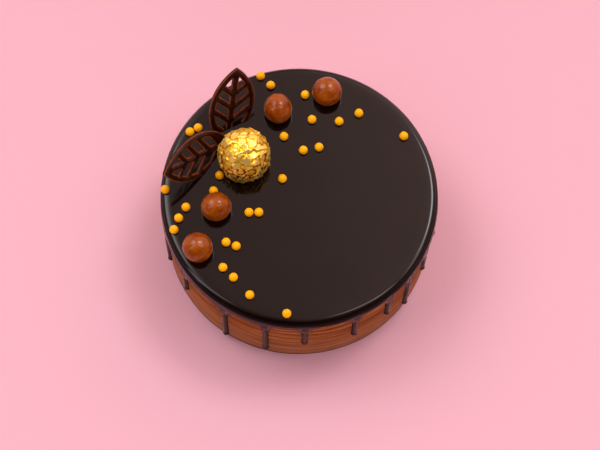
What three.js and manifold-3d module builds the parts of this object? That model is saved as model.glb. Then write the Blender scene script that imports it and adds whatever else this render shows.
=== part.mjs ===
// A round chocolate cake under a poured dark glaze that runs down its side in drips. On the top lie two
// lattice leaves of dark chocolate, a sweet in gold foil and four milk chocolate balls.
// Millimetres, +Z up. The origin is the centre of the flat base.

import * as THREE from 'three';
import { mergeVertices } from 'three/addons/utils/BufferGeometryUtils.js';
import Module from 'manifold-3d';

const wasm = await Module();
wasm.setup();

// ---------- driving dimensions ----------

const GAP = 0.3; // clearance between neighbouring pieces
const GLAZE_TOP = 61.5; // height of the flat, glazed top
const GLAZE_THICKNESS = 3.6; // on the top
const GLAZE_R = 79.5; // at the side, above the drips
const RIM_R = 4.4; // rounding of the glaze at the rim
const LIP_Z = 55.2; // lower edge of the glaze where it is highest
const LIP_BEAD = 0.4; // rounding of that lower edge

const BODY_R = 78.4;
const BODY_EDGE_R = 3.2; // rounding of the body's upper edge

const NECK_DROP = 6.5; // how far below the arch beside it a drip leaves the glaze's edge
const NECK_HALF_WIDTH = 1.4; // degrees
const DRIP_R = 1.75;
const DRIP_PROUD = 1.5; // how far a drip stands out from the body
const DRIP_TIP_R = 1.95; // the heavier end of a drip
const DRIP_TOP = 53; // drips grow out of the glaze below this height
// Every drip: its azimuth in degrees, the height of its tip, and that of the edge midway to the next drip.
const DRIPS = [
  [-164, 3.5, 49.5], [-144.4, 21, 51], [-121.4, 2.5, 52], [-102.8, 7, 53.5], [-86.3, 25.5, 55.3],
  [-64.7, 22, 54.6], [-48.5, 24.5, 55], [-36.2, 6, 53.5], [-22.4, 21, 52], [-11, 40, 52.5],
  [6, 15, 50.5], [22, 30, 52], [37, 9, 53], [55, 25, 51], [71, 36, 52.5], [88, 12, 53.5],
  [104, 29, 52], [121, 7, 50.5], [138, 23, 51.5], [154, 34, 50], [172, 16, 49],
];

// One leaf mould serves both leaves: two arcs that meet in a point at each end.
const LEAF_LENGTH = 54.5;
const LEAF_HALF_WIDTH = 13.9;
const LEAF_THICKNESS = 2.4;
const LEAF_BEVEL = 0.6;
const LEAF_BAND = 3.7; // width of the border
const RIB_HALF_WIDTH = 2; // of the midrib
const VEIN_HALF_WIDTH = 1.8;
const VEIN_ANGLE = 50.5; // degrees between a vein and the midrib
const FIRST_VEIN = 18.6; // where the first vein leaves the midrib, from the tip
const VEIN_PITCH = 9.6;
const VEIN_COUNT = 4;
const LEAF_SINK = 2; // how deep the leaves are pushed into the glaze
// Each leaf: the place of its tip, the azimuth and rise of its midrib, and its roll about the midrib.
const LEAVES = [
  { name: 'leaf_back', tip: [-36.1, 59.0, 98.0], azimuth: 76.2, rise: 59.7, roll: -37.1 },
  { name: 'leaf_left', tip: [-74.8, -1.8, 87.4], azimuth: 224.4, rise: 29.0, roll: 62.5 },
];

const FOIL_R = 15;
const FOIL_CENTRE = [-31.8, 18.1]; // on the glaze
const FOIL_MIDDLE = 11; // height of the widest part over the glaze
const FOIL_CRUMPLE = 0.45; // depth of the creases

const BALL_MIDDLE = 5.8; // height of a ball's centre over the glaze
// Each ball: its place on the glaze, its half sizes along its own axes and the turn of the longer one.
const BALLS = [
  { at: [-13.6, 49.4], half: [8.2, 8.8, 8.4], turn: 8 },
  { at: [14.6, 60.9], half: [8.7, 8.5, 8.5], turn: 0 },
  { at: [-46.8, -12.2], half: [8.7, 8.3, 8.4], turn: 20 },
  { at: [-56.3, -36.9], half: [8.7, 8.5, 8.6], turn: -30 },
];
const BALL_LUMP = 0.1; // unevenness of a ball

const ROUND_STEPS = 84; // round the cake
const BALL_STEPS = 14;

// ---------- helpers ----------

const radians = THREE.MathUtils.degToRad;

// A manifold solid from a closed three.js geometry, with its faces turned outwards.
function solid(geometry) {
  const bare = geometry.clone();
  bare.deleteAttribute('normal');
  bare.deleteAttribute('uv');
  const merged = mergeVertices(bare, 1e-4);
  const index = merged.index.array;
  const kept = [];
  for (let i = 0; i < index.length; i += 3) {
    const [a, b, c] = [index[i], index[i + 1], index[i + 2]];
    if (a !== b && b !== c && c !== a) {
      kept.push(a, b, c);
    }
  }
  const vertProperties = new Float32Array(merged.attributes.position.array);
  const made = (triVerts) => new wasm.Manifold(new wasm.Mesh({ numProp: 3, vertProperties, triVerts }));
  const first = made(new Uint32Array(kept));
  return first.volume() > 0 ? first : made(new Uint32Array(kept.reverse()));
}

function geometryOf(manifold) {
  const mesh = manifold.getMesh();
  const geometry = new THREE.BufferGeometry();
  geometry.setAttribute('position', new THREE.BufferAttribute(new Float32Array(mesh.vertProperties), 3));
  geometry.setIndex(new THREE.BufferAttribute(new Uint32Array(mesh.triVerts), 1));
  geometry.computeVertexNormals();
  return geometry;
}

// A solid of revolution about Z, from [radius, height] pairs.
function turned(profile) {
  const points = profile.map(([r, z]) => new THREE.Vector2(r, z));
  return new THREE.LatheGeometry(points, ROUND_STEPS).rotateX(Math.PI / 2);
}

// Points of a quarter circle from the side up to the top, for a rounded upper edge.
function roundedEdge(outerR, topZ, edgeR, steps) {
  const points = [];
  for (let i = 0; i <= steps; i++) {
    const angle = (i / steps) * (Math.PI / 2);
    points.push([outerR - edgeR + edgeR * Math.cos(angle), topZ - edgeR + edgeR * Math.sin(angle)]);
  }
  return points;
}

function moveVertices(geometry, move) {
  const position = geometry.attributes.position;
  const point = new THREE.Vector3();
  for (let i = 0; i < position.count; i++) {
    point.fromBufferAttribute(position, i);
    move(point);
    position.setXYZ(i, point.x, point.y, point.z);
  }
  return geometry;
}

// The turn from azimuth b on to azimuth a in degrees, from 0 to 360.
function turnFrom(b, a) {
  return (((a - b) % 360) + 360) % 360;
}

function piece(name, manifold, color, roughness, metalness = 0) {
  const material = new THREE.MeshStandardMaterial({ color, roughness, metalness });
  const mesh = new THREE.Mesh(geometryOf(manifold), material);
  mesh.name = name;
  return mesh;
}

// ---------- cake body ----------

const bodyTop = GLAZE_TOP - GLAZE_THICKNESS - GAP;

function bodySolid() {
  return solid(turned([
    [0, 0],
    [BODY_R, 0],
    ...roundedEdge(BODY_R, bodyTop, BODY_EDGE_R, 3),
    [0, bodyTop],
  ]));
}

// The space that the body takes under the glaze, with its clearance.
function bodyRoom() {
  const under = -10;
  return solid(turned([
    [0, under],
    [BODY_R + GAP, under],
    ...roundedEdge(BODY_R + GAP, bodyTop + GAP, BODY_EDGE_R, 3),
    [0, bodyTop + GAP],
  ]));
}

// ---------- chocolate balls ----------

// A ball in its place, larger by grow all round.
function ballSolid({ at, half, turn }, grow) {
  const rings = Math.round(BALL_STEPS * 0.6);
  const ball = new THREE.SphereGeometry(1, BALL_STEPS, rings).rotateX(Math.PI / 2);
  moveVertices(ball, (point) => {
    const { x, y, z } = point;
    const lump = Math.sin(3 * x + turn) * Math.sin(2.6 * y + 1) + Math.sin(3.4 * z + 2 * turn);
    const swell = 1 + (lump * BALL_LUMP + grow) / half[2];
    point.multiply(new THREE.Vector3(...half)).multiplyScalar(swell);
  });
  return solid(ball.rotateZ(radians(turn)).translate(...at, GLAZE_TOP + BALL_MIDDLE));
}

// ---------- chocolate leaves ----------

// The closed outline, drawn in by inset: two arcs. Its tip is near the origin and its length along -Y.
function leafOutline(inset) {
  const steps = 14;
  const halfLength = LEAF_LENGTH / 2;
  const arcR = (halfLength ** 2 + LEAF_HALF_WIDTH ** 2) / (2 * LEAF_HALF_WIDTH);
  const centreX = arcR - LEAF_HALF_WIDTH;
  const reach = Math.acos(centreX / (arcR - inset));
  const points = [];
  for (const side of [1, -1]) {
    for (let i = 0; i < steps; i++) {
      const angle = side * reach * (1 - (2 * i) / steps);
      const x = side * ((arcR - inset) * Math.cos(angle) - centreX);
      points.push(new THREE.Vector2(x, (arcR - inset) * Math.sin(angle) - halfLength));
    }
  }
  return new THREE.Shape(points);
}

// The outline as a plate between two heights.
function leafPlate(inset, low, high) {
  const plate = new THREE.ExtrudeGeometry(leafOutline(inset), { depth: high - low, bevelEnabled: false });
  return solid(plate.translate(0, 0, low));
}

// The midrib and the veins, which rise from it towards the tip on both sides.
function leafRibs() {
  const depth = LEAF_THICKNESS + 8;
  const rib = new THREE.BoxGeometry(2 * RIB_HALF_WIDTH, LEAF_LENGTH * 2, depth);
  let ribs = solid(rib);
  for (const side of [1, -1]) {
    for (let i = 0; i < VEIN_COUNT; i++) {
      const vein = new THREE.BoxGeometry(2 * VEIN_HALF_WIDTH, LEAF_LENGTH, depth);
      vein.translate(0, LEAF_LENGTH / 2, 0);
      vein.rotateZ(-side * radians(VEIN_ANGLE));
      vein.translate(0, -FIRST_VEIN - i * VEIN_PITCH, 0);
      ribs = ribs.add(solid(vein));
    }
  }
  return ribs;
}

// The lattice leaf, with its front face on z = 0 and its tip at the origin.
function latticeLeaf() {
  const plate = new THREE.ExtrudeGeometry(leafOutline(0), {
    depth: LEAF_THICKNESS - 2 * LEAF_BEVEL,
    bevelThickness: LEAF_BEVEL,
    bevelSize: LEAF_BEVEL,
    bevelOffset: -LEAF_BEVEL,
    bevelSegments: 1,
  });
  plate.translate(0, 0, LEAF_BEVEL - LEAF_THICKNESS);
  const holes = leafPlate(LEAF_BAND, -LEAF_THICKNESS - 1, 1).subtract(leafRibs());
  return solid(plate).subtract(holes);
}

// A leaf's own X runs across it, Y along the midrib to the tip and Z out of its front.
function leafPlacement({ tip, azimuth, rise, roll }) {
  const [a, r, q] = [radians(azimuth), radians(rise), radians(roll)];
  const along = new THREE.Vector3(Math.cos(r) * Math.cos(a), Math.cos(r) * Math.sin(a), Math.sin(r));
  const level = new THREE.Vector3().crossVectors(along, new THREE.Vector3(0, 0, 1)).normalize();
  const upward = new THREE.Vector3().crossVectors(level, along);
  const across = level.clone().multiplyScalar(Math.cos(q)).addScaledVector(upward, Math.sin(q));
  const front = new THREE.Vector3().crossVectors(across, along);
  return new THREE.Matrix4().makeBasis(across, along, front).setPosition(...tip);
}

// Everything lower than the given depth under the glazed top.
function belowGlaze(depth) {
  const size = 400;
  const level = GLAZE_TOP - depth;
  return solid(new THREE.BoxGeometry(size, size, size).translate(0, 0, level - size / 2));
}

function leafSolid(leaf) {
  const stood = solid(geometryOf(latticeLeaf()).applyMatrix4(leafPlacement(leaf)));
  return stood.subtract(belowGlaze(LEAF_SINK));
}

// The slot that a leaf stands in, with clearance all round.
function leafSlot(leaf) {
  const plate = geometryOf(leafPlate(-GAP, -LEAF_THICKNESS - GAP, GAP));
  const stood = solid(plate.applyMatrix4(leafPlacement(leaf)));
  return stood.subtract(belowGlaze(LEAF_SINK + GAP));
}

// ---------- foil-wrapped sweet ----------

// A ball of crumpled foil, widest a little above its flat base.
function foilSolid() {
  const foil = new THREE.IcosahedronGeometry(1, 4);
  const base = FOIL_MIDDLE - GAP;
  moveVertices(foil, (point) => {
    const { x, y, z } = point;
    const crease = Math.sin(9 * x + 2) * Math.sin(8 * y + 1) + Math.sin(11 * z + 5 * x);
    const radius = FOIL_R + FOIL_CRUMPLE * crease;
    if (point.z < 0) {
      const level = Math.max(point.z * FOIL_R, -base);
      const flat = Math.hypot(point.x, point.y);
      const fuller = Math.sqrt(Math.max(1 - (level / (base * 1.35)) ** 4, 0));
      const spread = flat > 0 ? (Math.min(flat * 1.25, 1) * fuller) / flat : 0;
      point.x *= spread * radius;
      point.y *= spread * radius;
      point.z = level;
    } else {
      point.multiplyScalar(radius);
    }
  });
  return solid(foil.translate(...FOIL_CENTRE, GLAZE_TOP + FOIL_MIDDLE));
}

// ---------- glaze ----------

// The height of the glaze's lower edge at an azimuth, relative to LIP_Z: an arch from each drip to the next.
function lipShift(azimuth) {
  const turns = DRIPS.map(([at]) => turnFrom(at, azimuth));
  const i = turns.indexOf(Math.min(...turns));
  const next = DRIPS[(i + 1) % DRIPS.length];
  const arch = DRIPS[i][2];
  const half = turnFrom(DRIPS[i][0], next[0]) / 2;
  const beside = turns[i] < half ? DRIPS.at(i - 1)[2] : next[2];
  const foot = Math.min(arch, beside) - NECK_DROP;
  const share = Math.min(Math.abs(turns[i] - half) / (half - NECK_HALF_WIDTH), 1);
  return arch - ((arch - foot) * (share ** 2 + share ** 12)) / 2 - LIP_Z;
}

function glazeShell() {
  const inside = BODY_R - 1;
  const shell = turned([
    [0, LIP_Z],
    [inside, LIP_Z],
    [GLAZE_R - LIP_BEAD, LIP_Z],
    [GLAZE_R, LIP_Z + LIP_BEAD],
    ...roundedEdge(GLAZE_R, GLAZE_TOP, RIM_R, 4),
    [0, GLAZE_TOP],
  ]);
  moveVertices(shell, (point) => {
    const onLip = point.z < LIP_Z + LIP_BEAD + GAP / 2 && Math.hypot(point.x, point.y) > inside - 0.1;
    if (onLip) {
      point.z += lipShift(THREE.MathUtils.radToDeg(Math.atan2(point.y, point.x)));
    }
  });
  return solid(shell);
}

function dripSolid([azimuth, tipZ]) {
  const axisR = BODY_R + DRIP_PROUD - DRIP_R;
  const length = DRIP_TOP - DRIP_R - (tipZ + DRIP_R);
  const run = new THREE.CapsuleGeometry(DRIP_R, length, 2, 8).rotateX(Math.PI / 2);
  run.translate(axisR, 0, tipZ + DRIP_R + length / 2);
  const end = new THREE.SphereGeometry(DRIP_TIP_R, 8, 6).translate(axisR, 0, tipZ + DRIP_TIP_R);
  return solid(run.rotateZ(radians(azimuth))).add(solid(end.rotateZ(radians(azimuth))));
}

function glazeSolid() {
  let glaze = glazeShell();
  for (const drip of DRIPS) {
    glaze = glaze.add(dripSolid(drip));
  }
  glaze = glaze.subtract(bodyRoom());
  for (const ball of BALLS) {
    glaze = glaze.subtract(ballSolid(ball, GAP));
  }
  for (const leaf of LEAVES) {
    glaze = glaze.subtract(leafSlot(leaf));
  }
  return glaze;
}

// ---------- the whole ----------

const cake = new THREE.Group();
cake.add(piece('cake_body', bodySolid(), 0x83411f, 0.6));
cake.add(piece('glaze', glazeSolid(), 0x261a16, 0.08));
for (const leaf of LEAVES) {
  cake.add(piece(leaf.name, leafSolid(leaf), 0x2b130c, 0.45));
}
cake.add(piece('foil_sweet', foilSolid(), 0xe0a83c, 0.3, 1));
BALLS.forEach((ball, index) => {
  cake.add(piece(`chocolate_ball_${index + 1}`, ballSolid(ball, 0), 0x8c421a, 0.3));
});

export default cake;
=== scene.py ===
"""The looks of a chocolate cake with a dripping mirror glaze, leaves, balls and a sweet in gold foil.

Lengths in the constants are millimetres. The meshes are in metres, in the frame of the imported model.
"""

import math
import random

import bmesh
import bpy
import numpy as np
from mathutils import Matrix, Vector, noise
from mathutils.bvhtree import BVHTree


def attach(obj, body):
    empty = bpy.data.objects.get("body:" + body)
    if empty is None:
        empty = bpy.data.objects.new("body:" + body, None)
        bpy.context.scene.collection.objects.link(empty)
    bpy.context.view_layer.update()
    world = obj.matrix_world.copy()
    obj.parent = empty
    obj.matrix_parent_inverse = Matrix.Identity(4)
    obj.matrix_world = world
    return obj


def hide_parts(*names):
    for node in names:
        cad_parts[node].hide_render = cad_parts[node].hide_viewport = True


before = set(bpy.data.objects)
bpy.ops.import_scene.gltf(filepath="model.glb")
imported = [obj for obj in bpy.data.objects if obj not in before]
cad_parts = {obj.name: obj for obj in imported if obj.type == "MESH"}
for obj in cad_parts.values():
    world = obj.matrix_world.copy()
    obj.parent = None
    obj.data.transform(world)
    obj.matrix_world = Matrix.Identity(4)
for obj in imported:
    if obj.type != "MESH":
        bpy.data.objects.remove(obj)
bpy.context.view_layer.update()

MM = 0.001

# ---------- camera and stage ----------

CAMERA_PLACE = (0.0, -350.2, 961.8)
CAMERA_AIM = (0.83, -19.86, 61.5)
CAMERA_ROLL = 1.57  # degrees
CAMERA_LENS = 101.5
SENSOR_WIDTH = 36.0
SIGHT_RANGE = 20.0  # metres

FLOOR_SIZE = 6000.0
FLOOR_COLOUR = (0.69, 0.387, 0.467)

# The surroundings: a pale horizon, and a warm room that is bright behind the cake and dark in front of it.
HORIZON_COLOUR = (0.75, 0.52, 0.55)
HORIZON_HEIGHT = 0.07  # sine of the elevation up to which the horizon is pale
HORIZON_END = 2.2 * HORIZON_HEIGHT  # and at which it has faded out
ROOM_COLOUR = (1.75, 1.20, 1.10)
# Brightness of the room by the Y part of the direction, from -1 in front of the cake to 1 behind it, and by
# the X part, from -1 on its left to 1 on its right.
ROOM_DEPTH = (
    (-1.0, 0.01), (-0.62, 0.02), (-0.39, 0.20), (-0.26, 0.33), (0.0, 0.44), (0.29, 0.68), (0.40, 0.80),
    (0.64, 1.0), (0.82, 0.9), (0.95, 0.35), (1.0, 0.3),
)
ROOM_WIDTH = ((-1.0, 0.4), (-0.6, 0.75), (-0.09, 0.60), (0.0, 0.76), (0.09, 1.08), (0.5, 1.1), (1.0, 0.4))

# Round lamps in the room: degrees to the right of the zenith and behind it, spread in degrees, and radiance.
LAMPS = ((-32.0, 20.0, 12.0, 4.5), (23.5, 22.5, 7.0, 11.0), (34.0, 3.0, 5.0, 2.8))

# Soft boxes: degrees to the right of the zenith and behind it, the angles that they fill, their radiance, and
# whether the gloss of the cake mirrors them.
LIGHT_DISTANCE = 1.5  # metres
LIGHT_TINT = (1.0, 0.90, 0.97)
SOFT_BOXES = {
    "left_front_box": (-37.0, -18.0, 9.0, 44.0, 2.6, True),
    "right_front_box": (18.0, -7.0, 9.0, 24.0, 3.8, True),
    "front_fill": (0.0, -68.0, 60.0, 24.0, 1.8, False),
}

# ---------- sizes of the glaze ----------

GLAZE_TOP = 61.5
GLAZE_R = 79.5
GLAZE_SKIN = 0.9  # thickness of its mesh
RIM_R = 4.3  # rounding of the glaze at the rim
SHOULDER_START = 70.0  # radius at which the flat top starts to fall away
SHOULDER_LENGTH = 5.2
# Slope in degrees at the end of the shoulder and how late it is reached: in general, and at the far left,
# where the glaze has run off further.
SHOULDER = (2.0, 1.5)
LEFT_SHOULDER = (7.0, 3.0)
LEFT_SHARPNESS = 4  # the higher, the narrower the part at the left
RIM_WAVE = 0.12
RUNS_FROM = 50.0  # slope of the rim in degrees beyond which the glaze looks like its runs
SUNK = 0.35  # how far the glaze's margin lies inside the body

SKIRT_TOP = 57.0
# The glaze is painted browner near its edge, partly its own colour and partly painted reflection.
EDGE_BAND = 5.0  # the glaze looks browner within this distance of its edge
LIP_WANDER = 0.35
LIP_BEAD = 0.4
LIP_BEAD_WIDTH = 1.7
NECK_DROP = 6.5  # how far below the arch beside it a drip sets out
NECK_HALF_WIDTH = 1.9
DRIP_HALF_WIDTH = 1.8
DRIP_HEIGHT = 1.45
DRIP_RISE = 6.0  # it is reached this far below the lip
DRIP_WANDER = 0.3
DRIP_BENDS = 0.07  # to a millimetre
DRIP_TIP_EXTRA = 0.4  # the end of a drip is this much thicker
DRIP_TIP_LENGTH = 2.6
BLEND = 1.2  # softness of the corner between a drip and the lip
# Every drip in order of azimuth: its azimuth in degrees, the height of its tip, and the height of the glaze's
# edge midway to the next drip.
DRIPS = (
    (-164.0, 3.5, 49.5), (-144.4, 21.0, 51.0), (-121.4, 2.5, 52.0), (-102.8, 7.0, 53.5), (-86.3, 25.5, 55.3),
    (-64.7, 22.0, 54.6), (-48.5, 24.5, 55.0), (-36.2, 6.0, 53.5), (-22.4, 21.0, 52.0), (-11.0, 40.0, 52.5),
    (6.0, 15.0, 50.5), (22.0, 30.0, 52.0), (37.0, 9.0, 53.0), (55.0, 25.0, 51.0), (71.0, 36.0, 52.5),
    (88.0, 12.0, 53.5), (104.0, 29.0, 52.0), (121.0, 7.0, 50.5), (138.0, 23.0, 51.5), (154.0, 34.0, 50.0),
    (172.0, 16.0, 49.0),
)

# The glaze's mesh. Columns: their distances from the middle of a drip, and their spacing between the drips.
DRIP_COLUMNS = (0.0, 0.45, 0.9, 1.25, 1.5, 1.65, 1.78, 1.95, 2.4, 3.2)
COLUMN_SPACING = 1.3
WANDER_FADE = 4.0  # beside a drip, the columns follow its wandering less and less over this distance
# Rows: radii on the flat top, heights over the lip, and heights over the tip of each drip.
TOP_ROWS = (0.5, 20.0, 40.0, 54.0, 64.0)
LIP_ROWS = (2.2, 1.5, 0.9, 0.4, 0.0, -0.35, -0.7, -1.0, -1.25, -1.45, -1.6, -1.7, -1.8, -2.1)
TIP_ROWS = (2.7, 2.2, 1.8, 1.4, 1.0, 0.7, 0.45, 0.25, 0.12, 0.03, -0.1, -0.5)
LIP_ROW_GAP = 0.1  # distance that the rows of the lip keep where they would be above SKIRT_TOP
TIP_ROWS_FROM = 3.2  # the other rows end at this height over the tip
SHORTEST_RUN = 1.0  # and at least this far below the lip's rows
SHOULDER_STEPS = 14
ARC_STEPS = 24
SKIRT_STEPS = 5
RUN_STEPS = 30

# ---------- sizes of the body ----------

BODY_R = 78.4
BODY_TOP = 57.5
BODY_EDGE = ((2.0, 0.0), (0.5, 0.6))  # its upper edge: distances in from the side and down from the top
BODY_SIDE_TOP = BODY_TOP - 2.0
BODY_BASE_R = BODY_R - 2.0  # the flat base is closed with a ring of this radius
HUB_R = 1.0  # and a small face in the middle, like the top
BODY_COLUMNS = 420
BODY_ROW = 0.5
# Streaks of the comb and wide lumps: their depth, their height, and how many there are to a radian.
COMB_DEPTH = 0.10
COMB_PITCH = 1.3
COMB_WAVES = 1.6
LUMP_DEPTH = 0.15
LUMP_HEIGHT = 25.0
LUMP_WAVES = 3.0
FOOT_UNDERCUT = 0.1
FOOT_HEIGHT = 1.0

# ---------- sizes of the toppings ----------

LEAF_LENGTH = 54.5
LEAF_HALF_WIDTH = 13.9
LEAF_THICKNESS = 2.4
LEAF_BAND = 3.7
RIB_HALF_WIDTH = 2.0
VEIN_HALF_WIDTH = 1.8
RIDGE_RISE = 0.9  # the ribs and the border rise this much to a ridge with sloping sides
RIDGE_MARGIN = 0.55  # and leave this much of the plate below them bare
PLATE_BEVEL = 0.3
TIP_ROUNDING = 0.8
HOLE_ROUNDING = 0.7
VEIN_ANGLE = 50.5  # degrees between a vein and the midrib
FIRST_VEIN = 18.6
VEIN_PITCH = 9.6
VEIN_COUNT = 4
LEAF_SINK = 2.0
WELD = 0.01  # points nearer than this are one
FRONT_FACING = 0.3  # least cosine between a face that counts as the front and the leaf's own front
# Each leaf: the place of its tip, then the azimuth and rise of its midrib and its roll about it, in degrees.
LEAVES = {
    "leaf_back": ((-36.1, 59.0, 98.0), 76.2, 59.7, -37.1),
    "leaf_left": ((-74.8, -1.8, 87.4), 224.4, 29.0, 62.5),
}

FOIL_R = 15.0
FOIL_CENTRE = (-31.8, 18.1)
FOIL_MIDDLE = 11.0  # height of the widest part over the glaze
FOIL_LOW_R = 14.9  # radius of the lower half, which is squarer
FOIL_SQUARENESS = 5
FOIL_SINK = 0.2
FOIL_SLACK = 0.1  # the creased foil as a whole is this much smaller
FOIL_SEED = 7
# Flat plates of the foil: spacing on top and near the glaze in radians, tilt, step from one plate to the next
# and depth of the creases between them in millimetres, and the creases' width in radians.
FOIL_PLATES = (0.29, 0.15, 0.26, 0.42, 0.55, 0.04)
# Folds of the foil, coarse and fine: spacing of their corners as above, and the corners' unevenness.
FOIL_FOLDS = ((0.15, 0.11, 0.26), (0.08, 0.06, 0.15))
FOIL_TRIES = 6000  # random places that are tried for plates or corners
# Height at which the spacing starts to widen, and the distance over which it does, as shares of the radius.
FOIL_SPACING = (-0.2, 0.9)
FOIL_WARP = 0.11  # how far the outlines of plates and folds are bent, in radians
FOIL_BLUR = 5  # how often the relief is averaged to tell its hollows from its ridges
COARSE_ON_TOP = 0.5  # share of the coarse folds' relief that even the top has
# Folds toward the top: the least share of them, the height at which the share would be nothing, and the
# distance below it at which it is whole, as shares of the radius.
FOIL_CALM = (0.2, 0.75, 0.8)
# The darkening toward the glaze is painted shade.
# Darkening toward the glaze: the height at which it starts, the distance below it at which it would be whole,
# and the share at which it stops.
FOIL_PAINTED_SHADING = (0.7, 2.4, 0.3)
# Fine creases near the glaze: their depth in millimetres, and as shares of it the height of their ridges and
# the fall between them.
CRUMPLE = (0.30, 0.6, 2.2)
# How much painted shade darkens the foil in its hollows, at the creases between plates, and toward the glaze.
FOIL_PAINTED_SHADES = (2.4, 0.6, 0.7)

BALL_MIDDLE = 5.8
BALL_LUMPS = 0.016  # share of the radius
# Each ball: its place, its half sizes and the turn of its axes in degrees.
BALLS = {
    "chocolate_ball_1": ((-13.6, 49.4), (8.2, 8.8, 8.4), 8.0),
    "chocolate_ball_2": ((14.6, 60.9), (8.7, 8.5, 8.5), 0.0),
    "chocolate_ball_3": ((-46.8, -12.2), (8.7, 8.3, 8.4), 20.0),
    "chocolate_ball_4": ((-56.3, -36.9), (8.7, 8.5, 8.6), -30.0),
}

PEARL_R = 2.55
PEARL_SINK = 1.1
PEARL_LUMPS = 0.02  # share of the radius
PEARLS = (
    (-24.3, 71.8), (-18.3, 66.0), (2.0, 60.5), (33.4, 49.7), (6.3, 45.0), (22.0, 44.2), (-59.4, 37.9),
    (-64.0, 35.2), (-9.7, 33.9), (59.5, 36.0), (10.7, 27.7), (1.7, 25.6), (-45.8, 8.7), (-9.9, 7.6),
    (-76.2, -0.7), (-48.9, -0.9), (-64.2, -11.3), (-28.3, -13.5), (-22.7, -13.3), (-68.0, -18.0),
    (-70.3, -25.0), (-40.6, -31.8), (-34.8, -33.9), (-41.8, -46.8), (-35.7, -52.5), (-26.2, -62.6),
    (-5.3, -72.9),
)

# ---------- colours and gloss ----------

GLAZE_BLACK = (0.0045, 0.0016, 0.001)
MILK_BROWN = (0.24, 0.048, 0.001)
CREAM_PALE = (0.40, 0.21, 0.13)  # toward the foot, where the light of the table reaches it
# Painted shade: a dark line along the cream's foot, where the cake meets the floor.
CREAM_FOOT_SHADE = (0.10, 0.030, 0.006)
# The leaves: dark and light colour, roughness and specular level.
LEAF_FACE = ((0.006, 0.0008, 0.0003), (0.032, 0.0058, 0.0014), 0.30, 0.16)
# The edges' much lighter, redder colour is a painted highlight, for the light that the leaves' edges catch.
LEAF_EDGE_HIGHLIGHT = ((0.17, 0.034, 0.006), (0.32, 0.072, 0.016), 0.38, 0.08)


# ---------- meshes ----------

def scene_object(name, data):
    """A new object of the scene from a mesh, curve, light or camera."""
    obj = bpy.data.objects.new(name, data)
    bpy.context.scene.collection.objects.link(obj)
    return obj


def mesh_object(name, points, faces):
    """A smooth-shaded object from points in millimetres."""
    mesh = bpy.data.meshes.new(name)
    mesh.from_pydata([tuple(point) for point in np.asarray(points) * MM], [], faces)
    mesh.shade_smooth()
    mesh.update()
    return scene_object(name, mesh)


def ring_row(angles, radii, levels):
    """Points round the axis of the cake. Radii and levels are one number, or one for each angle."""
    return np.stack(np.broadcast_arrays(radii * np.cos(angles), radii * np.sin(angles), levels), axis=1)


def ring_faces(rows, columns):
    """Quads between rows of points that each run once round, counted row by row, first row on top."""
    faces = []
    for row in range(rows - 1):
        for column in range(columns):
            after = (column + 1) % columns
            low = (row + 1) * columns
            high = row * columns
            faces.append((high + column, low + column, low + after, high + after))
    return faces


def store(obj, name, values):
    """Keeps a value for every point of the mesh, for the materials."""
    attribute = obj.data.attributes.new(name, "FLOAT", "POINT")
    attribute.data.foreach_set("value", np.asarray(values, dtype=np.float32))


def use(obj, *materials):
    for material in materials:
        obj.data.materials.append(material)


def apply_modifiers(obj):
    evaluated = obj.evaluated_get(bpy.context.evaluated_depsgraph_get())
    mesh = bpy.data.meshes.new_from_object(evaluated)
    obj.modifiers.clear()
    obj.data = mesh


def clamped(value):
    """The value, kept between 0 and 1."""
    return min(max(value, 0.0), 1.0)


def fractal(x, y, z, octaves=3):
    return noise.fractal(Vector((x, y, z)), 1.0, 2.0, octaves)


def ring_noise(azimuth, waves, layer, octaves=3):
    """Noise round the axis of the cake: it closes on itself, and each layer has a pattern of its own."""
    return fractal(waves * math.cos(azimuth), waves * math.sin(azimuth), layer, octaves)


def ball_noise(direction, waves, shift=(0, 0, 0), octaves=3):
    """Noise over a unit ball. Each shift gives a pattern of its own."""
    return fractal(*(waves * part + move for part, move in zip(direction, shift)), octaves)


# ---------- materials ----------

def colour_ramp(tree, value, stops):
    """Colours by value in a node tree. Stops are (position, colour or grey)."""
    ramp = tree.nodes.new("ShaderNodeValToRGB")
    elements = ramp.color_ramp.elements
    while len(elements) < len(stops):
        elements.new(0.5)
    for element, (position, colour) in zip(elements, stops):
        element.position = position
        element.color = (*colour, 1.0) if isinstance(colour, tuple) else (colour,) * 3 + (1.0,)
    tree.links.new(value, ramp.inputs["Fac"])
    return ramp.outputs["Color"]


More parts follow.
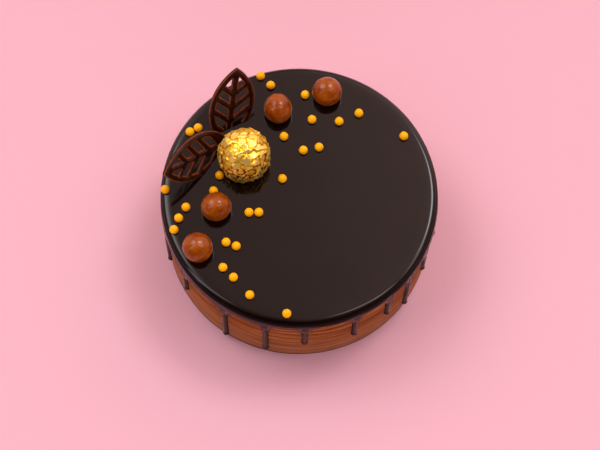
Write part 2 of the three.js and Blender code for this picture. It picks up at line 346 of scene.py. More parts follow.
class Look:
    """A node-based material around one Principled shader."""

    def __init__(self, name, colour, roughness, **sockets):
        self.material = bpy.data.materials.new(name)
        self.material.use_nodes = True
        self.nodes = self.material.node_tree.nodes
        self.shader = self.nodes["Principled BSDF"]
        self.set(self.shader, "Base Color", (*colour, 1.0))
        self.set(self.shader, "Roughness", roughness)
        for socket, value in sockets.items():
            self.set(self.shader, socket.replace("_", " "), value)
        self.bump = None

    def set(self, node, socket, value):
        node.inputs[socket].default_value = value

    def link(self, source, target):
        self.material.node_tree.links.new(source, target)

    def coordinates(self, stretch=(1.0, 1.0, 1.0)):
        """Object coordinates in millimetres, each axis multiplied by stretch."""
        place = self.nodes.new("ShaderNodeTexCoord")
        mapping = self.nodes.new("ShaderNodeMapping")
        self.set(mapping, "Scale", tuple(factor / MM for factor in stretch))
        self.link(place.outputs["Object"], mapping.inputs["Vector"])
        return mapping.outputs["Vector"]

    def noise(self, size, detail=3.0, stretch=(1.0, 1.0, 1.0), rough=0.5):
        """Noise whose features are about size millimetres across."""
        texture = self.nodes.new("ShaderNodeTexNoise")
        self.set(texture, "Scale", 1.0 / size)
        self.set(texture, "Detail", detail)
        self.set(texture, "Roughness", rough)
        self.link(self.coordinates(stretch), texture.inputs["Vector"])
        return texture.outputs["Fac"]

    def attribute(self, name):
        """A value that is stored with the points of the mesh."""
        node = self.nodes.new("ShaderNodeAttribute")
        node.attribute_name = name
        return node.outputs["Fac"]

    def level(self, low, high):
        """Height, as 0 at low and 1 at high, both in millimetres."""
        parts = self.nodes.new("ShaderNodeSeparateXYZ")
        self.link(self.coordinates(), parts.inputs["Vector"])
        span = self.nodes.new("ShaderNodeMapRange")
        self.set(span, "From Min", low)
        self.set(span, "From Max", high)
        self.link(parts.outputs["Z"], span.inputs["Value"])
        return span.outputs["Result"]

    def ramp(self, value, stops):
        return colour_ramp(self.material.node_tree, value, stops)

    def mixed(self, first, second, share):
        """A mix of two values, with this share of the second."""
        mix = self.nodes.new("ShaderNodeMix")
        self.set(mix, "Factor", share)
        self.link(first, mix.inputs["A"])
        self.link(second, mix.inputs["B"])
        return mix.outputs["Result"]

    def tinted(self, first, second, share):
        """The first colour, and the second where the value share is 1."""
        mix = self.nodes.new("ShaderNodeMix")
        mix.data_type = "RGBA"
        self.link(share, mix.inputs[0])
        self.link(first, mix.inputs[6])
        mix.inputs[7].default_value = (*second, 1.0)
        return mix.outputs[2]

    def colour_by(self, value, stops):
        self.link(self.ramp(value, stops), self.shader.inputs["Base Color"])

    def roughness_by(self, value, stops):
        self.link(self.ramp(value, stops), self.shader.inputs["Roughness"])

    def bump_by(self, value, depth):
        """Adds relief of the given depth in millimetres."""
        bump = self.nodes.new("ShaderNodeBump")
        self.set(bump, "Strength", 1.0)
        self.set(bump, "Distance", depth * MM)
        self.link(value, bump.inputs["Height"])
        if self.bump:
            self.link(self.bump.outputs["Normal"], bump.inputs["Normal"])
        self.link(bump.outputs["Normal"], self.shader.inputs["Normal"])
        self.bump = bump


def glaze_look():
    look = Look("mirror_glaze", GLAZE_BLACK, 0.06, IOR=1.4)
    look.colour_by(look.noise(30.0), ((0.35, (0.0038, 0.0013, 0.0008)), (0.65, (0.0052, 0.002, 0.0013))))
    look.roughness_by(look.noise(6.0), ((0.3, 0.05), (0.7, 0.09)))
    look.bump_by(look.noise(9.0, detail=1.0), 0.02)
    return look.material


def runs_look():
    """The glaze's thinner edge and drips: less glossy than its top, browner in part by painted reflection."""
    look = Look("glaze_runs", (0.018, 0.006, 0.0035), 0.1, IOR=1.13)
    # Brown band: partly the glaze's own colour, partly painted reflection; near-black edge: painted shade.
    look.colour_by(look.attribute("edge"), (
        (0.0, GLAZE_BLACK), (0.15, (0.02, 0.006, 0.004)), (0.4, (0.15, 0.042, 0.026)),
        (0.64, (0.08, 0.026, 0.007)), (0.74, (0.045, 0.014, 0.004)), (0.85, (0.003, 0.0008, 0.0005)),
    ))
    look.roughness_by(look.noise(3.0), ((0.3, 0.06), (0.7, 0.12)))
    look.bump_by(look.noise(0.9, detail=2.0), 0.09)
    return look.material


def cream_look():
    """Cream combed round the cake: long level streaks, gathered into wider bands."""
    look = Look("chocolate_cream", (0.36, 0.085, 0.018), 0.6, Specular_IOR_Level=0.05)
    streaks = look.noise(1.0, detail=5.0, stretch=(0.03, 0.03, 1.2), rough=0.7)
    bands = look.noise(1.0, detail=2.0, stretch=(0.014, 0.014, 0.3))
    combed = look.ramp(look.mixed(streaks, bands, 0.4), (
        (0.41, (0.13, 0.024, 0.0)), (0.47, (0.215, 0.052, 0.002)), (0.53, (0.325, 0.098, 0.009)),
        (0.59, (0.48, 0.21, 0.09)),
    ))
    paler = look.ramp(look.level(0.0, 34.0), ((0.0, 0.4), (1.0, 0.0)))
    side = look.tinted(combed, CREAM_PALE, paler)
    # Painted shade: the cream darkens over its lowest few millimetres, along the foot.
    foot = look.ramp(look.level(0.0, 3.0), ((0.4, 1.0), (0.9, 0.0)))
    look.link(look.tinted(side, CREAM_FOOT_SHADE, foot), look.shader.inputs["Base Color"])
    look.roughness_by(streaks, ((0.3, 0.65), (0.7, 0.5)))
    look.bump_by(streaks, 0.3)
    look.bump_by(look.noise(0.5, detail=2.0), 0.03)
    return look.material


def dark_chocolate_look(name, dark, light, roughness, specular):
    look = Look(name, dark, roughness, Specular_IOR_Level=specular)
    look.colour_by(look.noise(2.5), ((0.35, dark), (0.7, light)))
    look.roughness_by(look.noise(1.2), ((0.3, roughness), (0.7, roughness + 0.12)))
    look.bump_by(look.noise(0.9, detail=2.0), 0.03)
    return look.material


def milk_chocolate_look():
    look = Look("milk_chocolate", MILK_BROWN, 0.15, Specular_IOR_Level=0.3)
    blotches = ((0.3, (0.17, 0.027, 0.0)), (0.5, MILK_BROWN), (0.7, (0.32, 0.074, 0.002)))
    look.colour_by(look.noise(5.0), blotches)
    look.roughness_by(look.noise(2.0), ((0.3, 0.10), (0.7, 0.18)))
    look.bump_by(look.noise(3.0, detail=2.0), 0.08)
    return look.material


def pearl_look():
    look = Look("sugar_pearl", (0.97, 0.42, 0.001), 0.25, Specular_IOR_Level=0.2)
    look.colour_by(look.noise(2.0), ((0.3, (0.96, 0.40, 0.0)), (0.7, (1.0, 0.47, 0.0))))
    look.bump_by(look.noise(0.7, detail=2.0), 0.02)
    return look.material


def foil_look():
    """Gold foil, pale on its flat plates, and brown where shade is painted in its creases and hollows."""
    look = Look("gold_foil", (0.98, 0.76, 0.30), 0.35, Metallic=0.75, Specular_IOR_Level=0.2)
    look.colour_by(look.attribute("crease"), (
        (0.0, (1.0, 0.78, 0.27)), (0.12, (1.0, 0.73, 0.13)), (0.3, (1.0, 0.62, 0.03)),
        (0.5, (0.88, 0.39, 0.003)), (0.75, (0.28, 0.08, 0.0)), (1.0, (0.03, 0.005, 0.0)),
    ))
    look.roughness_by(look.noise(1.5), ((0.3, 0.30), (0.7, 0.42)))
    look.bump_by(look.noise(1.8), 0.12)
    return look.material


def floor_look():
    look = Look("paper", FLOOR_COLOUR, 0.9)
    look.bump_by(look.noise(1.5), 0.02)
    return look.material


# ---------- glaze ----------

def rim_profile(end_slope, lateness):
    """(radius, height, slope in degrees) from the flat top over the rim, down to the vertical."""
    radius, height, slope = SHOULDER_START, GLAZE_TOP, 0.0
    points = [(radius, height, slope)]
    step = SHOULDER_LENGTH / SHOULDER_STEPS
    for i in range(SHOULDER_STEPS):
        slope = end_slope * ((i + 1) / SHOULDER_STEPS) ** lateness
        radius += step * math.cos(math.radians(slope))
        height -= step * math.sin(math.radians(slope))
        points.append((radius, height, slope))
    turn = (90.0 - end_slope) / ARC_STEPS
    middle_r = radius - RIM_R * math.sin(math.radians(end_slope))
    middle_z = height - RIM_R * math.cos(math.radians(end_slope))
    for i in range(ARC_STEPS):
        slope = end_slope + turn * (i + 1)
        radius = middle_r + RIM_R * math.sin(math.radians(slope))
        height = middle_z + RIM_R * math.cos(math.radians(slope))
        points.append((radius, height, slope))
    shift = GLAZE_R - radius
    return np.array([(radius + shift, height, slope) for radius, height, slope in points])


PLAIN_RIM = rim_profile(*SHOULDER)
LEFT_RIM = rim_profile(*LEFT_SHOULDER)


def rim_at(azimuth):
    """The rim's profile at an azimuth: it falls away sooner on the left."""
    left = max(-math.cos(azimuth), 0.0) ** LEFT_SHARPNESS
    return PLAIN_RIM * (1 - left) + LEFT_RIM * left


def surface_at(x, y):
    """Height and slope of the glaze at a place on its top."""
    radii, heights, slopes = rim_at(math.atan2(y, x)).T
    radius = math.hypot(x, y)
    if radius < SHOULDER_START:
        return GLAZE_TOP, 0.0
    return float(np.interp(radius, radii, heights)), float(np.interp(radius, radii, slopes))


def glaze_columns():
    """Azimuths of the glaze's columns, dense at each drip, with the nearest drip of each."""
    near = np.concatenate([-np.array(DRIP_COLUMNS[:0:-1]), DRIP_COLUMNS]) / BODY_R
    azimuths, owners = [], []
    for drip in range(len(DRIPS)):
        following = (drip + 1) % len(DRIPS)
        here = math.radians(DRIPS[drip][0])
        there = math.radians(DRIPS[following][0])
        if there < here:
            there += math.tau
        azimuths.extend(here + near)
        owners.extend([drip] * len(near))
        low, high = here + near[-1], there + near[0]
        count = max(int((high - low) * BODY_R / COLUMN_SPACING), 2)
        for step in range(1, count):
            share = step / count
            azimuths.append(low + (high - low) * share)
            owners.append(drip if share < 0.5 else following)
    return np.array(azimuths), owners


def turn_between(a, b):
    """Signed angle from b to a in radians."""
    return (a - b + math.pi) % math.tau - math.pi


def lip_height(azimuth):
    """Height of the line where the glaze starts to thin out: an arch between each drip and the next."""
    turns = [math.degrees(turn_between(azimuth, math.radians(drip[0]))) % 360.0 for drip in DRIPS]
    before = turns.index(min(turns))
    after = (before + 1) % len(DRIPS)
    arch = DRIPS[before][2]
    width = (DRIPS[after][0] - DRIPS[before][0]) % 360.0
    neck = math.degrees(NECK_HALF_WIDTH / BODY_R)
    share = min(abs(turns[before] - width / 2) / (width / 2 - neck), 1.0)
    beside = DRIPS[before - 1][2] if turns[before] < width / 2 else DRIPS[after][2]
    low = min(arch, beside) - NECK_DROP
    # The arch is round in its middle and turns down sharply beside the drips.
    height = arch - (arch - low) * (0.5 * share ** 2 + 0.5 * share ** 12)
    return height + DRIP_HALF_WIDTH + LIP_WANDER * ring_noise(azimuth, waves=4.0, layer=3.0)


def drip_wander(drip, level):
    """How far a drip has strayed sideways at a height. Each drip has a pattern of its own."""
    return DRIP_WANDER * fractal(DRIP_BENDS * level, 5.0 * drip, 0.0, 2)


def smooth_min(a, b, width):
    """The smaller of two values, rounded off where they are less than width apart."""
    share = max(width - abs(a - b), 0.0) / width
    return min(a, b) - share * share * width / 4.0


def glaze_height(azimuth, level, owner, lip, lip_slope):
    """How far the glaze stands out from the body, or -SUNK where there is none, and how near its edge is."""
    at, tip, _ = DRIPS[owner]
    aside = turn_between(azimuth, math.radians(at)) * BODY_R - drip_wander(owner, level)
    swell = math.exp(-(((level - tip - DRIP_HALF_WIDTH) / DRIP_TIP_LENGTH) ** 2))
    half = DRIP_HALF_WIDTH + DRIP_TIP_EXTRA * 0.5 * swell
    below = min(level - tip - half, 0.0)
    to_drip = math.hypot(aside, below) * DRIP_HALF_WIDTH / half
    to_skirt = (lip - level) / math.hypot(1.0, lip_slope)
    distance = smooth_min(to_drip, to_skirt, BLEND)
    edge = clamped(1.0 - (DRIP_HALF_WIDTH - distance) / EDGE_BAND)
    if distance >= DRIP_HALF_WIDTH:
        return -SUNK, edge
    skirt = GLAZE_R - BODY_R
    full = skirt + (DRIP_HEIGHT - skirt) * clamped((lip - level) / DRIP_RISE) + DRIP_TIP_EXTRA * swell
    full += LIP_BEAD * math.exp(-((min(distance, 0.0) / LIP_BEAD_WIDTH) ** 2))
    return full * math.sqrt(1.0 - (max(distance, 0.0) / DRIP_HALF_WIDTH) ** 2), edge


def glaze_levels(lips, tips):
    """Heights of the rows below the rim in each column: past the lip, along the drip and round its tip."""
    first = lips + LIP_ROWS[0]
    levels = [SKIRT_TOP + (first - SKIRT_TOP) * step / SKIRT_STEPS for step in range(1, SKIRT_STEPS)]
    levels = [np.minimum(level, SKIRT_TOP) for level in levels]
    for row, above in enumerate(LIP_ROWS):
        levels.append(np.minimum(lips + above, SKIRT_TOP - LIP_ROW_GAP * (row + 1)))
    start = levels[-1]
    end = np.minimum(tips + TIP_ROWS_FROM, start - SHORTEST_RUN)
    levels += [start + (end - start) * step / RUN_STEPS for step in range(1, RUN_STEPS + 1)]
    return levels + [tips + above for above in TIP_ROWS]


def glaze_piece():
    azimuths, owners = glaze_columns()
    columns = len(azimuths)
    lips = np.array([lip_height(azimuth) for azimuth in azimuths])
    turn = 0.002  # radians
    rises = [lip_height(azimuth + turn) - lip_height(azimuth - turn) for azimuth in azimuths]
    slopes = [rise / (2 * turn * BODY_R) for rise in rises]
    rows, heights, edges = [], [], []

    def add(angles, radii, levels, height=1.0, edge=0.0):
        rows.append(ring_row(angles, radii, levels))
        heights.append(np.full(columns, height))
        edges.append(np.full(columns, edge))

    for radius in TOP_ROWS:
        add(azimuths, radius, GLAZE_TOP)
    wave = np.array([RIM_WAVE * ring_noise(azimuth, waves=1.8, layer=9.0) for azimuth in azimuths])
    rims = np.array([rim_at(azimuth) for azimuth in azimuths])
    for radii, levels, slants in rims.transpose(1, 2, 0):
        lean = np.sin(np.radians(slants))
        if slants.min() < RUNS_FROM:
            first_run_row = len(rows)
        add(azimuths, radii + wave * lean, levels + wave * (1 - lean) * lean)

    middles = [math.radians(DRIPS[owner][0]) for owner in owners]
    offsets = np.array([turn_between(*pair) * BODY_R for pair in zip(azimuths, middles)])
    follows = np.clip(1.0 - (np.abs(offsets) - DRIP_COLUMNS[-1]) / WANDER_FADE, 0.0, 1.0)
    tips = np.array([DRIPS[owner][1] for owner in owners])
    for levels in glaze_levels(lips, tips):
        wander = np.array([drip_wander(*pair) for pair in zip(owners, levels)])
        angles = azimuths + wander * follows / BODY_R
        height, edge = np.array([glaze_height(*each) for each in zip(angles, levels, owners, lips, slopes)]).T
        add(angles, BODY_R + height, levels, height, edge)

    heights = np.concatenate(heights)
    faces = [face for face in ring_faces(len(rows), columns) if max(heights[list(face)]) > -SUNK]
    faces.append(tuple(range(columns)))
    obj = mesh_object("glaze_skin", np.concatenate(rows), faces)
    store(obj, "edge", np.concatenate(edges))
    clean = bmesh.new()
    clean.from_mesh(obj.data)
    for face in clean.faces:
        row = min(vertex.index for vertex in face.verts) // columns
        face.material_index = 1 if row >= first_run_row else 0
    loose = [vertex for vertex in clean.verts if not vertex.link_faces]
    bmesh.ops.delete(clean, geom=loose, context="VERTS")
    bmesh.ops.recalc_face_normals(clean, faces=clean.faces)
    clean.to_mesh(obj.data)
    clean.free()
    thicken = obj.modifiers.new("thicken", "SOLIDIFY")
    thicken.thickness = GLAZE_SKIN * MM
    thicken.offset = -1.0
    apply_modifiers(obj)
    use(obj, glaze_look(), runs_look())
    return obj


# ---------- body ----------

def body_piece():
    angles = np.arange(BODY_COLUMNS) * math.tau / BODY_COLUMNS
    rows = [ring_row(angles, HUB_R, BODY_TOP)]
    rows += [ring_row(angles, BODY_R - inward, BODY_TOP - down) for inward, down in BODY_EDGE]
    steps = int(BODY_SIDE_TOP / BODY_ROW)
    for i in range(steps + 1):
        level = BODY_SIDE_TOP * (1 - i / steps)
        foot = FOOT_UNDERCUT * max(1.0 - level / FOOT_HEIGHT, 0.0) ** 2
        combed = np.array([ring_noise(angle, COMB_WAVES, level / COMB_PITCH, 4) for angle in angles])
        lumps = np.array([ring_noise(angle, LUMP_WAVES, level / LUMP_HEIGHT) for angle in angles])
        rows.append(ring_row(angles, BODY_R - foot + COMB_DEPTH * combed + LUMP_DEPTH * lumps, level))
    rows += [ring_row(angles, radius, 0.0) for radius in (BODY_BASE_R, HUB_R)]
    faces = ring_faces(len(rows), BODY_COLUMNS)
    faces.append(tuple(range(BODY_COLUMNS)))
    last_row = range((len(rows) - 1) * BODY_COLUMNS, len(rows) * BODY_COLUMNS)
    faces.append(tuple(reversed(last_row)))
    obj = mesh_object("cream_side", np.concatenate(rows), faces)
    use(obj, cream_look())
    return obj


# ---------- chocolate leaves ----------

def leaf_arc(inset):
    """Radius of the outline's arcs and the distance of their centres from the midrib."""
    half = LEAF_LENGTH / 2
    full = (half ** 2 + LEAF_HALF_WIDTH ** 2) / (2 * LEAF_HALF_WIDTH)
    return full - inset, full - LEAF_HALF_WIDTH


def on_leaf_arc(radius, centre, angle):
    """A point of the right-hand arc, in the leaf's plane: its tip is at the origin, its midrib along -Y."""
    return radius * math.cos(angle) - centre, radius * math.sin(angle) - LEAF_LENGTH / 2


def leaf_outline():
    radius, centre = leaf_arc(0.0)
    reach = math.acos(centre / radius)
    steps = 40
    points = []
    for side in (1, -1):
        for i in range(steps):
            x, y = on_leaf_arc(radius, centre, side * reach * (1 - 2 * i / steps))
            points.append((side * x, y))
    return points


def leaf_hole(index, side):
    """The hole over a vein, on one side of the midrib. Over the first vein it reaches up to the border."""
    radius, centre = leaf_arc(LEAF_BAND)
    climb = 1 / math.tan(math.radians(VEIN_ANGLE))
    half = VEIN_HALF_WIDTH / math.sin(math.radians(VEIN_ANGLE))
    end = math.acos((centre + RIB_HALF_WIDTH) / radius)

    def arc_angle_on(line):
        """Where the line y = line + climb x meets the border's arc, as an angle at the arc's centre."""
        low, high = -end, end
        halvings = 40
        for _ in range(halvings):
            angle = (low + high) / 2
            x, y = on_leaf_arc(radius, centre, angle)
            if y > line + climb * x:
                high = angle
            else:
                low = angle
        return angle

    corners = []
    first = end
    if index > 0:
        upper = -(FIRST_VEIN + (index - 1) * VEIN_PITCH) - half
        corners.append((RIB_HALF_WIDTH, upper + climb * RIB_HALF_WIDTH))
        first = arc_angle_on(upper)
    lower = -(FIRST_VEIN + index * VEIN_PITCH) + half
    last = arc_angle_on(lower)
    steps = 12
    for i in range(steps + 1):
        corners.append(on_leaf_arc(radius, centre, first + (last - first) * i / steps))
    corners.append((RIB_HALF_WIDTH, lower + climb * RIB_HALF_WIDTH))
    return [(side * x, y) for x, y in rounded(corners, HOLE_ROUNDING)]


def rounded(points, radius):
    """The closed outline with its sharp corners rounded off."""
    nearly_straight = math.radians(150)
    longest = 0.45  # of the side that a corner takes up
    steps = 4
    smooth = []
    for i, point in enumerate(points):
        corner = Vector(point)
        before = Vector(points[i - 1]) - corner
        after = Vector(points[(i + 1) % len(points)]) - corner
        if before.angle(after) > nearly_straight:
            smooth.append(point)
            continue
        start = corner + before.normalized() * min(radius, before.length * longest)
        end = corner + after.normalized() * min(radius, after.length * longest)
        for k in range(steps + 1):
            share = k / steps
            curved = start * (1 - share) ** 2 + corner * 2 * share * (1 - share) + end * share ** 2
            smooth.append(tuple(curved))
    return smooth


def leaf_placement(tip, azimuth, rise, roll):
    """The matrix that takes the leaf from its own plane, in millimetres, to its place on the cake."""
    heading, climb, twist = (math.radians(angle) for angle in (azimuth, rise, roll))
    level_part = math.cos(climb)
    along = Vector((level_part * math.cos(heading), level_part * math.sin(heading), math.sin(climb)))
    level = along.cross(Vector((0, 0, 1))).normalized()
    upward = level.cross(along)
    across = level * math.cos(twist) + upward * math.sin(twist)
    front = across.cross(along)
    turn = Matrix((across, along, front)).transposed().to_4x4()
    return Matrix.Translation(Vector(tip) * MM) @ turn @ Matrix.Scale(MM, 4)


def leaf_layer(name, low, high, inset, bevel, steps):
    """The lattice between two levels, this far inside its outline, with its edges bevelled on both sides."""
    curve = bpy.data.curves.new(name, "CURVE")
    curve.dimensions = "2D"
    curve.fill_mode = "BOTH"
    curve.extrude = (high - low) / 2 - bevel
    curve.bevel_depth = bevel
    curve.bevel_resolution = steps
    curve.offset = -bevel - inset
    outlines = [rounded(leaf_outline(), TIP_ROUNDING)]
    outlines += [leaf_hole(i, side) for i in range(VEIN_COUNT) for side in (1, -1)]
    for outline in outlines:
        spline = curve.splines.new("POLY")
        spline.points.add(len(outline) - 1)
        for point, (x, y) in zip(spline.points, outline):
            point.co = (x, y, 0, 1)
        spline.use_cyclic_u = True
    shape = scene_object(name + "_outline", curve)
    mesh = bpy.data.meshes.new_from_object(shape.evaluated_get(bpy.context.evaluated_depsgraph_get()))
    bpy.data.objects.remove(shape)
    mesh.materials.clear()
    mesh.transform(Matrix.Translation((0, 0, (low + high) / 2)))
    return mesh


def leaf_piece(name):
    placement = leaf_placement(*LEAVES[name])
    front = placement.to_3x3().col[2].normalized()
    top = -RIDGE_RISE
    plate = leaf_layer(name, -LEAF_THICKNESS, top, 0.0, PLATE_BEVEL, 1)
    ridge = leaf_layer(name, top - RIDGE_RISE, top + RIDGE_RISE, RIDGE_MARGIN, RIDGE_RISE, 0)
    cut = bmesh.new()
    for layer in (plate, ridge):
        layer.transform(placement)
        cut.from_mesh(layer)
        for face in cut.faces[-len(layer.polygons):]:
            toward_front = face.normal.dot(front)
            # The plate's front faces, the thin margins round the ridges and holes, take the edge colour: a
            # painted highlight.
            face.material_index = 1 if layer == plate and toward_front > FRONT_FACING else 0
            face.smooth = False
    bmesh.ops.remove_doubles(cut, verts=cut.verts, dist=WELD * MM)
    whole = cut.verts[:] + cut.edges[:] + cut.faces[:]
    foot = (0, 0, (GLAZE_TOP - LEAF_SINK) * MM)
    result = bmesh.ops.bisect_plane(cut, geom=whole, plane_co=foot, plane_no=(0, 0, -1), clear_outer=True)
    rim = [edge for edge in result["geom_cut"] if isinstance(edge, bmesh.types.BMEdge)]
    bmesh.ops.triangle_fill(cut, edges=rim, use_beauty=True)
    bmesh.ops.recalc_face_normals(cut, faces=cut.faces)
    mesh = bpy.data.meshes.new(name + "_lattice")
    cut.to_mesh(mesh)
    cut.free()
    obj = scene_object(name + "_lattice", mesh)
    use(obj, dark_chocolate_look(name + "_face", *LEAF_FACE), dark_chocolate_look(name + "_edge", *LEAF_EDGE_HIGHLIGHT))
    return obj


# ---------- balls and pearls ----------

def unit_ball(subdivisions):
    """Unit directions and faces of an icosphere."""
    ball = bmesh.new()
    bmesh.ops.create_icosphere(ball, subdivisions=subdivisions, radius=1.0)
    directions = [vertex.co.normalized() for vertex in ball.verts]
    faces = [tuple(vertex.index for vertex in face.verts) for face in ball.faces]
    ball.free()
    return directions, faces


def ball_piece(name, look):
    (x, y), half, turn = BALLS[name]
    directions, faces = unit_ball(subdivisions=5)
    spin = Matrix.Rotation(math.radians(turn), 3, "Z")
    centre = Vector((x, y, GLAZE_TOP + BALL_MIDDLE))
    points = []
    for direction in directions:
        lump = 1.0 + BALL_LUMPS * ball_noise(direction, 1.6, (x, y, 0), octaves=2)
        out = Vector([part * size for part, size in zip(direction, half)])
        points.append(centre + spin @ out * lump)
    obj = mesh_object(name + "_coated", points, faces)
    use(obj, look)
    return obj


def pearls_piece():
    directions, faces = unit_ball(subdivisions=4)
    all_points, all_faces = [], []
    for x, y in PEARLS:
        level, slope = surface_at(x, y)
        out = Vector((x, y, 0)).normalized() * math.sin(math.radians(slope))
        up = Vector((0, 0, math.cos(math.radians(slope))))
        centre = Vector((x, y, level)) + (out + up) * (PEARL_R - PEARL_SINK)
        first = len(all_points)
        for direction in directions:
            lump = 1.0 + PEARL_LUMPS * ball_noise(direction, 1.0, (x, y, 0), octaves=2)
            all_points.append(centre + direction * PEARL_R * lump)
        all_faces += [tuple(first + corner for corner in face) for face in faces]
    obj = mesh_object("sugar_pearls", all_points, all_faces)
    use(obj, pearl_look())
    return obj


# ---------- foil ----------

def spread(dice, top, low):
    """Random unit directions, spaced more closely lower down. The spacings are in radians."""
    start, span = FOIL_SPACING
    chosen = []
    for _ in range(FOIL_TRIES):
        z = dice.uniform(-1.0, 1.0)
        around = dice.uniform(0.0, math.tau)
        ring = math.sqrt(1 - z * z)
        direction = Vector((ring * math.cos(around), ring * math.sin(around), z))
        spacing = low + (top - low) * clamped((z - start) / span)
        nearest = 2.0 * math.sin(spacing / 2)
        if all((direction - other).length > nearest for other in chosen):
            chosen.append(direction)
    return chosen


def foil_plates(dice, across, top, low, tilt, step, depth, width):
    """Height in millimetres of flat plates with creases between them, and how near a crease is."""
    centres = spread(dice, top, low)
    tilts = [Vector([dice.uniform(-tilt, tilt) for _ in range(3)]) for _ in centres]
    normals = np.array([(centre + lean).normalized() for centre, lean in zip(centres, tilts)])
    levels = np.array([dice.uniform(-step, step) for _ in centres])
    centres = np.array(centres)
    gaps = np.linalg.norm(across[:, None, :] - centres[None, :, :], axis=2)
    own, other = np.argsort(gaps, axis=1)[:, :2].T
    rows = np.arange(len(across))
    border = gaps[rows, other] - gaps[rows, own]

    def rise(plate):
        """Height over the ball of the plate's plane."""
        at_centre = np.einsum("ij,ij->i", centres[plate], normals[plate])
        return FOIL_R * (at_centre / np.einsum("ij,ij->i", across, normals[plate]) - 1.0) + levels[plate]

    mixed = 0.5 * np.exp(-border / width)
    crease = np.exp(-((border / width) ** 2))
    return rise(own) * (1 - mixed) + rise(other) * mixed - depth * crease, np.exp(-border / (2 * width))


def foil_folds(dice, directions, top, low, rise):
    """Height in millimetres of small flat faces that meet in sharp folds."""
    net = bmesh.new()
    for corner in spread(dice, top, low):
        net.verts.new(corner)
    bmesh.ops.convex_hull(net, input=net.verts)
    for corner in net.verts:
        corner.co *= FOIL_R + dice.uniform(-rise, rise)
    tree = BVHTree.FromBMesh(net)
    net.free()
    return np.array([tree.ray_cast(Vector(), direction)[0].length for direction in directions]) - FOIL_R


def blurred(values, faces, times):
    """The values at the points of a mesh, averaged with their neighbours' this often."""
    faces = np.array(faces)
    ends = np.concatenate([faces[:, [0, 1]], faces[:, [1, 2]], faces[:, [2, 0]]])
    counts = np.bincount(ends[:, 0], minlength=len(values))
    for _ in range(times):
        values = np.bincount(ends[:, 0], values[ends[:, 1]], len(values)) / counts
    return values


def smooth_foil_radius(direction):
    """Distance from the foil's middle to its surface without folds: a ball with a squarer lower half."""
    if direction.z >= 0:
        return FOIL_R
    wide = math.hypot(direction.x, direction.y) / FOIL_LOW_R
    deep = abs(direction.z) / FOIL_MIDDLE
    return (wide ** FOIL_SQUARENESS + deep ** FOIL_SQUARENESS) ** (-1 / FOIL_SQUARENESS)


def foil_piece():
    directions, faces = unit_ball(subdivisions=6)
    dice = random.Random(FOIL_SEED)
    across = np.array(directions)
    warp = [[ball_noise(direction, 5, (0, 0, layer)) for layer in (0, 7, 13)] for direction in directions]
    bent = across + FOIL_WARP * np.array(warp)
    bent /= np.linalg.norm(bent, axis=1)[:, None]
    calm_share, calm_height, calm_fade = FOIL_CALM
    low = np.clip((calm_height - across[:, 2]) / calm_fade, calm_share, 1.0)
    plates, creases = foil_plates(dice, bent, *FOIL_PLATES)
    bent_directions = [Vector(direction) for direction in bent]
    coarse, fine = (foil_folds(dice, bent_directions, *fold) for fold in FOIL_FOLDS)
    relief = plates + (COARSE_ON_TOP + (1 - COARSE_ON_TOP) * low) * coarse + low * fine
    depth, ridge, valley = CRUMPLE
    points = []
    for direction, height, share in zip(directions, relief, low):
        height += depth * share * (ridge - abs(ball_noise(direction, 9)) * valley)
        point = direction * (smooth_foil_radius(direction) + height - FOIL_SLACK)
        point.z = max(point.z, -FOIL_MIDDLE - FOIL_SINK)
        points.append(point + Vector((*FOIL_CENTRE, GLAZE_TOP + FOIL_MIDDLE)))
    obj = mesh_object("crumpled_foil", points, faces)
    hollow = blurred(relief, faces, FOIL_BLUR) - relief
    shade_height, shade_fade, darkest = FOIL_PAINTED_SHADING
    shaded = np.clip((shade_height - across[:, 2]) / shade_fade, 0.0, darkest)
    in_hollows, at_creases, toward_glaze = FOIL_PAINTED_SHADES
    # Painted shade: the foil darkens in its hollows, at the creases between plates and toward the glaze.
    painted_shade = in_hollows * low * hollow + at_creases * creases + toward_glaze * shaded
    store(obj, "crease", np.clip(painted_shade, 0.0, 1.0))
    use(obj, foil_look())
    return obj


# ---------- stage ----------

def floor_piece():
    half = FLOOR_SIZE / 2
    corners = [(-half, -half, 0), (half, -half, 0), (half, half, 0), (-half, half, 0)]
    obj = mesh_object("floor", corners, [(0, 1, 2, 3)])
    use(obj, floor_look())


def toward(sideways, behind):
    """The direction that lies so many degrees to the right of and behind the zenith."""
    return Vector((math.tan(math.radians(sideways)), math.tan(math.radians(behind)), 1.0)).normalized()


def soft_box(name, sideways, behind, width, length, radiance, mirrored):
    """A rectangular light above the cake. Angles are in degrees, as seen from the cake."""
    direction = toward(sideways, behind)
    light = bpy.data.lights.new(name, "AREA")
    light.shape = "RECTANGLE"
    light.size = 2 * LIGHT_DISTANCE * math.tan(math.radians(width / 2))
    light.size_y = 2 * LIGHT_DISTANCE * math.tan(math.radians(length / 2))
    light.energy = radiance * math.pi * light.size * light.size_y
    light.color = LIGHT_TINT
    obj = scene_object(name, light)
    obj.location = direction * LIGHT_DISTANCE
    obj.rotation_euler = direction.to_track_quat("Z", "Y").to_euler()
    obj.visible_glossy = mirrored


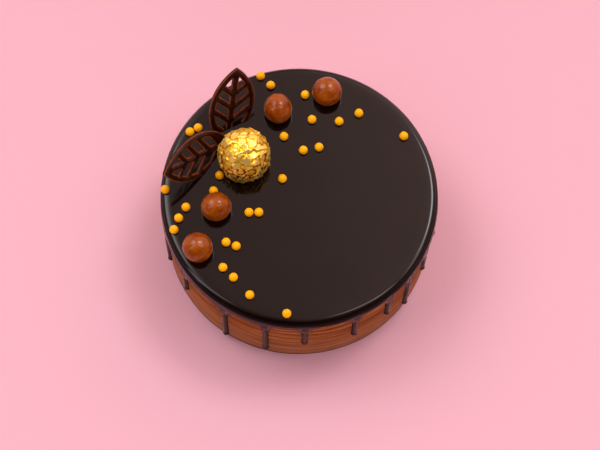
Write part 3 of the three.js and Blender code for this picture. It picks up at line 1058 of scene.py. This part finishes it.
def surroundings():
    world = bpy.data.worlds.new("studio")
    world.use_nodes = True
    tree = world.node_tree
    direction = tree.nodes.new("ShaderNodeTexCoord").outputs["Generated"]
    parts = tree.nodes.new("ShaderNodeSeparateXYZ")
    tree.links.new(direction, parts.inputs["Vector"])

    def step(operation, value, *numbers):
        """One step of arithmetic with a value and numbers."""
        node = tree.nodes.new("ShaderNodeMath")
        node.operation = operation
        tree.links.new(value, node.inputs[0])
        for i, number in enumerate(numbers):
            node.inputs[i + 1].default_value = number
        return node.outputs["Value"]

    def by_part(name, stops):
        """Grey by one part of the direction, which runs from -1 to 1."""
        share = step("MULTIPLY_ADD", parts.outputs[name], 0.5, 0.5)
        return colour_ramp(tree, share, [((at + 1) / 2, grey) for at, grey in stops])

    def combined(operation, first, second):
        node = tree.nodes.new("ShaderNodeVectorMath")
        node.operation = operation
        tree.links.new(first, node.inputs[0])
        if isinstance(second, tuple):
            node.inputs[1].default_value = second
        else:
            tree.links.new(second, node.inputs[1])
        return node.outputs["Vector"]

    def lamp(sideways, behind, spread_angle, radiance):
        """A round glow with a soft edge."""
        nearness = tree.nodes.new("ShaderNodeVectorMath")
        nearness.operation = "DOT_PRODUCT"
        nearness.inputs[1].default_value = toward(sideways, behind)
        tree.links.new(direction, nearness.inputs[0])
        sharpness = 1 / math.radians(spread_angle) ** 2
        distance = step("MULTIPLY_ADD", nearness.outputs["Value"], -sharpness, sharpness)
        falloff = step("MULTIPLY", step("POWER", distance, 2.0), -1.0)
        return step("MULTIPLY", step("EXPONENT", falloff), radiance)

    room = combined("MULTIPLY", by_part("Y", ROOM_DEPTH), by_part("X", ROOM_WIDTH))
    room = combined("MULTIPLY", room, ROOM_COLOUR)
    for place in LAMPS:
        room = combined("ADD", room, lamp(*place))
    horizon = colour_ramp(tree, parts.outputs["Z"], ((HORIZON_HEIGHT, HORIZON_COLOUR), (HORIZON_END, 0.0)))
    tree.links.new(combined("ADD", room, horizon), tree.nodes["Background"].inputs["Color"])
    return world


def stage():
    floor_piece()
    for name, box in SOFT_BOXES.items():
        soft_box(name, *box)
    scene = bpy.context.scene
    scene.world = surroundings()
    scene.view_settings.view_transform = "Standard"
    camera = scene_object("camera", bpy.data.cameras.new("camera"))
    camera.data.lens = CAMERA_LENS
    camera.data.sensor_width = SENSOR_WIDTH
    camera.data.clip_end = SIGHT_RANGE
    sight = (Vector(CAMERA_AIM) - Vector(CAMERA_PLACE)).to_track_quat("-Z", "Y")
    roll = Matrix.Rotation(math.radians(CAMERA_ROLL), 4, "Z")
    camera.matrix_world = Matrix.Translation(Vector(CAMERA_PLACE) * MM) @ sight.to_matrix().to_4x4() @ roll
    scene.camera = camera


stage()

made = [
    (body_piece(), "cream", "cake_body"),
    (glaze_piece(), "glaze", "glaze"),
    (foil_piece(), "gold_foil", "foil_sweet"),
]
for node in LEAVES:
    made.append((leaf_piece(node), "dark_chocolate", node))
milk_chocolate = milk_chocolate_look()
for node in BALLS:
    made.append((ball_piece(node, milk_chocolate), "milk_chocolate", node))
for piece, slot, node in made:
    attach(piece, "root")
    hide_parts(node)
pearls = pearls_piece()
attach(pearls, "root")
